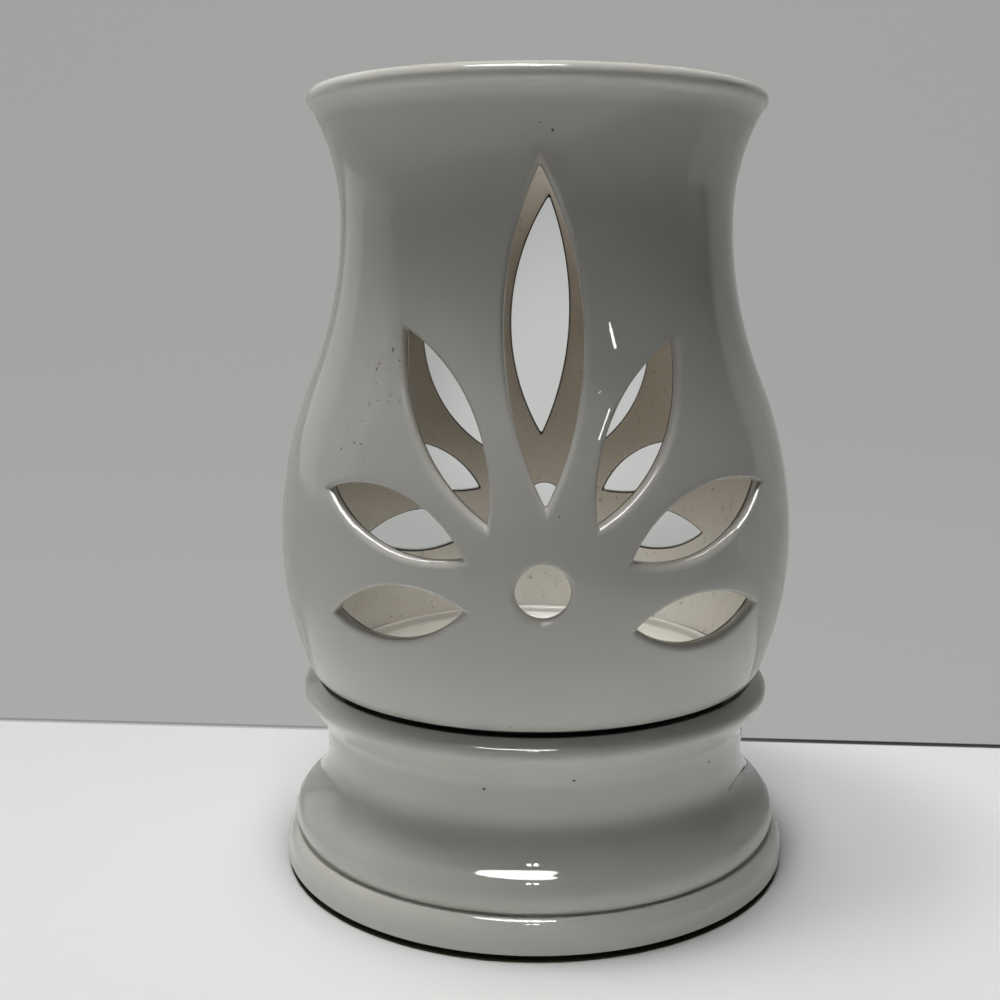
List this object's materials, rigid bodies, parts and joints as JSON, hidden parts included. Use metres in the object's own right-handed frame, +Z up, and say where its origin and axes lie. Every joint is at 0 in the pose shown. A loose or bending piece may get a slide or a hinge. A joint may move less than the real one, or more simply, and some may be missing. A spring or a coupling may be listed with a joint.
{
  "type": "candle lamp",
  "caption": "Glazed ceramic candle lamp: a waisted, flared shade pierced with a lotus pattern stands on a turned pedestal that holds a tealight.",
  "frame": {"origin": "centre of the lamp's footprint, on the plane that it rests on", "axes": "+Z up along the turning axis, -Y the front face that the picture shows, +X to the right of someone who looks at the front"},
  "size_m": [0.15, 0.15, 0.2222],
  "materials": {
    "shade_glaze": "glossy white glaze with fine pinholes",
    "base_glaze": "glossy white glaze with fine pinholes",
    "pad_felt": "dark olive-brown felt",
    "cup_foil": "pressed bright sheet",
    "candle_wax": "smooth white wax",
    "wick_cotton": "plaited waxed cotton",
    "holder_tin": "tinned sheet"
  },
  "bodies": {
    "base": {"base": "base_glaze", "base_pad": "pad_felt"},
    "shade": {"shade": "shade_glaze"},
    "tealight": {"tealight_cup": "cup_foil", "tealight_wax": "candle_wax", "wick": "wick_cotton", "wick_holder": "holder_tin"}
  },
  "joints": [
    {"name": "shade_lift", "type": "slide", "parent": "base", "child": "shade", "axis": [0, 0, 1], "range_m": [0, 0.08]},
    {"name": "tealight_lift", "type": "slide", "parent": "base", "child": "tealight", "axis": [0, 0, 1], "range_m": [0, 0.2]}
  ]
}
